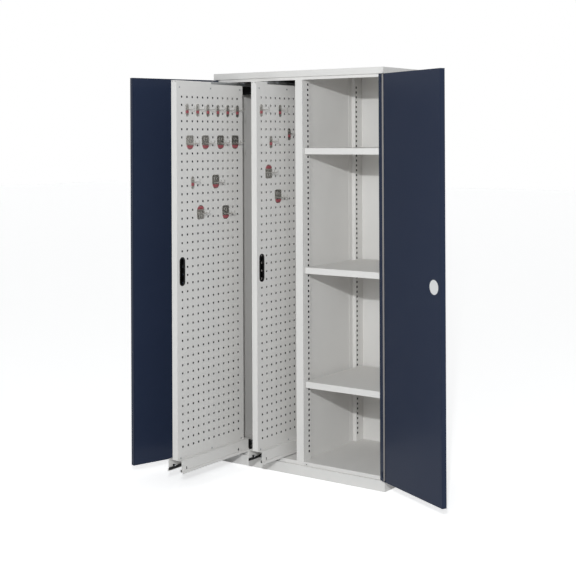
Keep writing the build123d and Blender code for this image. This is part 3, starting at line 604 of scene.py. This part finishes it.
def repeat_tree():
    tree = bpy.data.node_groups.new("shapes_on_points", "GeometryNodeTree")
    sockets = tree.interface
    sockets.new_socket("Points", in_out="INPUT", socket_type="NodeSocketGeometry")
    for name in SHAPE_INPUTS:
        sockets.new_socket(name, in_out="INPUT", socket_type="NodeSocketObject")
    sockets.new_socket("Size", in_out="INPUT", socket_type="NodeSocketFloat").default_value = 1.0
    sockets.new_socket("Finish", in_out="INPUT", socket_type="NodeSocketMaterial")
    sockets.new_socket("Geometry", in_out="OUTPUT", socket_type="NodeSocketGeometry")
    given = add(tree, "NodeGroupInput").outputs
    kind, turn = (
        add(
            tree, "GeometryNodeInputNamedAttribute", {"Name": name}, data_type=data_type
        ).outputs["Attribute"]
        for name, data_type in (("kind", "INT"), ("turn", "FLOAT_VECTOR"))
    )
    together = add(tree, "GeometryNodeJoinGeometry")
    for number, name in enumerate(SHAPE_INPUTS):
        chosen = add(
            tree,
            "FunctionNodeCompare",
            {COMPARE_FIRST: kind, COMPARE_SECOND: number},
            data_type="INT",
            operation="EQUAL",
        )
        shape = add(tree, "GeometryNodeObjectInfo", {"Object": given[name]})
        stood = add(
            tree,
            "GeometryNodeInstanceOnPoints",
            {
                "Points": given["Points"],
                "Selection": chosen.outputs["Result"],
                "Instance": shape.outputs["Geometry"],
                "Rotation": turn,
                "Scale": given["Size"],
            },
        )
        tree.links.new(stood.outputs["Instances"], together.inputs["Geometry"])
    real = add(tree, "GeometryNodeRealizeInstances", {"Geometry": together.outputs["Geometry"]})
    coated = add(
        tree,
        "GeometryNodeSetMaterial",
        {"Geometry": real.outputs["Geometry"], "Material": given["Finish"]},
    )
    add(tree, "NodeGroupOutput", {"Geometry": coated.outputs["Geometry"]})
    return tree


REPEAT = repeat_tree()
print("tree", REPEAT.name, "has", len(REPEAT.nodes), "nodes")

# %% [markdown]
# A set is a mesh of points with those two attributes.  The tree runs on it once, and its
# result is kept as a plain mesh.  Edges sharper than 35 degrees stay crisp, and all the
# rest is shaded smooth, except that a wire of eight sides keeps its facets.

# %% Make one set
SHARP_FROM = math.radians(35)


def repeated(name, places, shapes, material):
    """A plain mesh object with a shape on each place: (x, y, z), kind, turn."""
    mesh = bpy.data.meshes.new(name)
    mesh.from_pydata([place for place, kind, turn in places], [], [])
    mesh.attributes.new("kind", "INT", "POINT")
    mesh.attributes.new("turn", "FLOAT_VECTOR", "POINT")
    for n, (place, kind, turn) in enumerate(places):
        mesh.attributes["kind"].data[n].value = kind
        mesh.attributes["turn"].data[n].vector = turn
    piece = bpy.data.objects.new(name, mesh)
    bpy.context.collection.objects.link(piece)
    modifier = piece.modifiers.new("repeat", "NODES")
    modifier.node_group = REPEAT
    keys = {item.name: item.identifier for item in REPEAT.interface.items_tree}
    for key, shape in zip(SHAPE_INPUTS, shapes):
        modifier[keys[key]] = shape
    modifier[keys["Size"]] = 1.0
    modifier[keys["Finish"]] = material
    ready = bpy.context.evaluated_depsgraph_get()
    result = bpy.data.meshes.new_from_object(piece.evaluated_get(ready), depsgraph=ready)
    piece.modifiers.clear()
    piece.data = result
    bpy.data.meshes.remove(mesh)
    result.name = name
    result.polygons.foreach_set("use_smooth", [True] * len(result.polygons))
    result.set_sharp_from_angle(angle=SHARP_FROM)
    print(name, "faces:", len(result.polygons))
    return piece


# %% [markdown]
# Hooks sit over the square holes, which are 38 mm apart both ways.  A place is written
# as the column from the panel's front edge and the row from the top of the plate's
# upper hole, and the panel's own box in the frame gives the rest.

# %% Where the hooks are
PITCH = 38.0
FIRST_COLUMN = 38.5
FIRST_ROW_RISE = 55.6
LAST_ROW = 43
HALF_ROW = 0.5  # the middle of a plate's two holes is this far below the upper one
PLATE_DROP = 5.0  # plate centre below the middle of its two holes

NARROW_HOOKS = {
    1: ((1, 1), (3, 1), (5, 1), (7, 1), (9, 1), (11, 1), (2, 10)),
    2: ((0, 1), (4, 1), (6, 4), (2, 5)),
}
WIDE_HOOKS = {1: ((1, 5), (4, 5), (7, 5), (10, 5), (6, 10), (8, 14)), 2: ((3, 12),)}
FLIPPED_HOOKS = {1: ((3, 14),), 2: ((1, 9),)}


def panel_box(number):
    """The panel's right face, front edge, bottom and top, in metres."""
    low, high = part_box(f"panel_{number}_right_sheet")
    return high[0], low[1] - SKIN * MM, low[2] - SKIN * MM, high[2] + SKIN * MM


def hook_centres(number):
    """Plate centres in metres, with whether the plate is wide and whether upside down."""
    face, front, bottom, top = panel_box(number)
    chosen = [(place, False, False) for place in NARROW_HOOKS[number]]
    chosen += [(place, True, False) for place in WIDE_HOOKS[number]]
    chosen += [(place, True, True) for place in FLIPPED_HOOKS[number]]
    centres = []
    for (column, row), wide, flipped in chosen:
        y = FIRST_COLUMN + column * PITCH + (PITCH / 2 if wide else 0)
        z = FIRST_ROW_RISE + (LAST_ROW - row - HALF_ROW) * PITCH
        z += PLATE_DROP if flipped else -PLATE_DROP
        centres.append(((face, front + y * MM, bottom + z * MM), wide, flipped))
    return centres


print("hooks on the panels:", [len(hook_centres(number)) for number in (1, 2)])

# %% [markdown]
# A wide plate carries a wire a quarter of its width to each side of its middle.  The
# wires turn up on the two flipped plates as well.  Each set rides on its panel's body and
# takes the place of the plainer hooks or labels of the solids.

# %% Hooks and their red inserts
NARROW_KIND, WIDE_KIND, WIRE_KIND = 0, 1, 2
UPRIGHT = (0.0, 0.0, 0.0)
UPSIDE_DOWN = (math.pi, 0.0, 0.0)
WIRE_SPREAD = WIDE[0] / 4
NARROW_INSERT_DROP = 8.0  # insert below the plate's centre
WIDE_INSERT_DROP = 21.0


def shifted(place, y=0.0, z=0.0):
    return (place[0], place[1] + y * MM, place[2] + z * MM)


for number in (1, 2):
    plates, inserts = [], []
    for place, wide, flipped in hook_centres(number):
        kind = WIDE_KIND if wide else NARROW_KIND
        turn = UPSIDE_DOWN if flipped else UPRIGHT
        plates.append((place, kind, turn))
        rise = WIDE_WIRE_RISE if wide else NARROW_WIRE_RISE
        for arm in (-WIRE_SPREAD, WIRE_SPREAD) if wide else (0.0,):
            plates.append((shifted(place, y=arm, z=rise), WIRE_KIND, UPRIGHT))
        drop = WIDE_INSERT_DROP if wide else NARROW_INSERT_DROP
        inserts.append((shifted(place, z=drop if flipped else -drop), kind, turn))
    body = f"panel_{number}"
    hooks = repeated(
        f"{body}_hook_set", plates, (narrow_plate, wide_plate, wire_hook), FINISHES["hook_chrome"]
    )
    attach(hooks, body)
    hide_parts(f"{body}_hooks")
    labels = repeated(
        f"{body}_insert_set", inserts, (narrow_insert, wide_insert), FINISHES["label_red"]
    )
    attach(labels, body)
    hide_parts(f"{body}_hook_labels")

# %% [markdown]
# Button-head screws hold the sheets to the panel's frame, three along the top and three
# along the bottom on each side.  The same heads close the axles of the rollers inside the
# carriage.

# %% Screw heads
PANEL_T = 31.0
PANEL_D = 500.0
SCREW_DROP = 19.4
LOW_SCREW_RISE = 6.0
SCREW_INSET = 22.4
ROLLER_INSET = 34.0
ROLLER_END = 29.0  # axle end from the middle of the carriage
ROLLER_Z = 94.0
SCREW_KIND = 0
FACING_LEFT = (0.0, 0.0, math.pi)

for number in (1, 2):
    face, front, bottom, top = panel_box(number)
    middle = face - PANEL_T / 2 * MM
    heads = []
    for along in (SCREW_INSET, PANEL_D / 2, PANEL_D - SCREW_INSET):
        y = front + along * MM
        for z in (top - SCREW_DROP * MM, bottom + LOW_SCREW_RISE * MM):
            heads.append(((face, y, z), SCREW_KIND, UPRIGHT))
            heads.append(((face - PANEL_T * MM, y, z), SCREW_KIND, FACING_LEFT))
    for along in (ROLLER_INSET, PANEL_D - ROLLER_INSET):
        y = front + along * MM
        heads.append(((middle - ROLLER_END * MM, y, ROLLER_Z * MM), SCREW_KIND, UPRIGHT))
        heads.append(((middle + ROLLER_END * MM, y, ROLLER_Z * MM), SCREW_KIND, FACING_LEFT))
    screws = repeated(f"panel_{number}_screw_set", heads, (screw_head,), FINISHES["zinc_steel"])
    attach(screws, f"panel_{number}")
    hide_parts(f"panel_{number}_screws")

for shape in (narrow_plate, wide_plate, wire_hook, narrow_insert, wide_insert, screw_head):
    bpy.data.objects.remove(shape)

# %% [markdown]
# ## Room, lamps and camera
# A white floor and a white surround stand for the studio.  Lit as brightly as they look,
# they would wash out every shadow.  So both are full white only to the rays that look at
# them or mirror them, and give a weaker, slightly cool light to everything else.

# %% Floor and surround
FLOOR_SIDE = 30.0
FLOOR_Z = -0.0005  # just under the plinth, so that the two never touch
FLOOR_GLOW = 0.60
SURROUND = 0.28
LIGHT_TINT = (0.96, 0.985, 1.0)


def rays(tree, *kinds):
    """1 for the named kinds of ray and 0 for all others."""
    path = add(tree, "ShaderNodeLightPath").outputs
    seen = 0.0
    for kind in kinds:
        seen = add(
            tree, "ShaderNodeMath", {0: seen, 1: path[f"Is {kind} Ray"]}, operation="MAXIMUM"
        ).outputs["Value"]
    return seen


def studio_floor():
    """A matt paper sweep: nearly white, with no texture that would show."""
    material = finish("studio_floor", ("F4F4F4", "F7F7F7"), roughness=(0.6, 0.6), grain=0.8)
    tree = material.node_tree
    shader = tree.nodes["Principled BSDF"]
    tree.links.new(rays(tree, "Camera", "Glossy"), shader.inputs["Emission Strength"])
    shader.inputs["Emission Color"].default_value = (FLOOR_GLOW, FLOOR_GLOW, FLOOR_GLOW, 1.0)
    return material


def studio_world():
    world = bpy.data.worlds.new("studio")
    world.use_nodes = True
    tree = world.node_tree
    tree.nodes.clear()
    seen = rays(tree, "Camera", "Glossy", "Transmission")
    strength = add(tree, "ShaderNodeMapRange", {"Value": seen, "To Min": SURROUND, "To Max": 1.0})
    tint = add(
        tree,
        "ShaderNodeMix",
        {MIX_FACTOR: seen, MIX_FIRST: (*LIGHT_TINT, 1.0), MIX_SECOND: (1.0, 1.0, 1.0, 1.0)},
        data_type="RGBA",
    )
    background = add(
        tree,
        "ShaderNodeBackground",
        {"Strength": strength.outputs["Result"], "Color": tint.outputs[MIX_RESULT]},
    )
    add(tree, "ShaderNodeOutputWorld", {"Surface": background.outputs["Background"]})
    return world


floor_mesh = bpy.data.meshes.new("floor")
corners = [(x * FLOOR_SIDE, y * FLOOR_SIDE, FLOOR_Z) for x, y in ((-1, -1), (1, -1), (1, 1), (-1, 1))]
floor_mesh.from_pydata(corners, [], [(0, 1, 2, 3)])
floor_mesh.materials.append(studio_floor())
floor = bpy.data.objects.new("floor", floor_mesh)
bpy.context.collection.objects.link(floor)
bpy.context.scene.world = studio_world()
print("surround gives", SURROUND, "of full white")

# %% [markdown]
# One small lamp a metre above the camera gives the crisp shelf shadows, and a wide lamp
# beside it and the even surround fill them.  The gloss sees only the white surround, so
# neither lamp makes a hot spot on the metal.

# %% Lamps
LAMP_AIM = Vector((0, 0, 1.0))  # the middle of the cabinet


def disk_lamp(name, place, size, watts):
    """A round area lamp that looks at the middle of the cabinet."""
    data = bpy.data.lights.new(name, "AREA")
    data.shape = "DISK"
    data.size = size
    data.energy = watts
    data.color = LIGHT_TINT
    lamp = bpy.data.objects.new(name, data)
    lamp.location = place
    lamp.rotation_euler = (LAMP_AIM - place).to_track_quat("-Z", "Y").to_euler()
    lamp.visible_glossy = False
    bpy.context.collection.objects.link(lamp)
    print("lamp", name, "gives", watts, "W")


disk_lamp("key", Vector((3.2, -4.97, 2.6)), size=0.10, watts=142.0)
disk_lamp("soft", Vector((2.3, -4.9, 2.6)), size=1.8, watts=48.0)

# %% [markdown]
# The camera stands in front of the cabinet and to its right, a little below the top of
# the doors.  Its place, its three turns, its focal length and its centre come from a fit
# of the cabinet's known corners and holes.  It looks level and its lens is shifted down,
# which keeps upright lines parallel.

# %% Camera
EYE = Vector((3.3280, -4.9652, 1.6177))
YAW = math.radians(35.149)
TILT = math.radians(-0.1515)
ROLL = math.radians(-0.2418)
PICTURE = 576.0  # pixels a side
FOCAL = 1189.609  # in pixels
CENTRE = (300.507, 136.266)  # where the lens looks, in pixels from the top left
SENSOR = 36.0

forward = Vector(
    (-math.sin(YAW) * math.cos(TILT), math.cos(YAW) * math.cos(TILT), -math.sin(TILT))
)
right = Vector((math.cos(YAW), math.sin(YAW), 0.0))
up = right.cross(forward)
right_rolled = right * math.cos(ROLL) + up * math.sin(ROLL)
up_rolled = up * math.cos(ROLL) - right * math.sin(ROLL)
camera_data = bpy.data.cameras.new("camera")
camera_data.sensor_width = SENSOR
camera_data.lens = SENSOR * FOCAL / PICTURE
camera_data.shift_x = (PICTURE / 2 - CENTRE[0]) / PICTURE
camera_data.shift_y = (CENTRE[1] - PICTURE / 2) / PICTURE
camera = bpy.data.objects.new("camera", camera_data)
camera_turn = Matrix((right_rolled, up_rolled, -forward)).transposed()
camera.matrix_world = Matrix.Translation(EYE) @ camera_turn.to_4x4()
bpy.context.collection.objects.link(camera)
bpy.context.scene.camera = camera
bpy.context.scene.view_settings.view_transform = "Standard"
print("lens in mm:", round(camera_data.lens, 1))
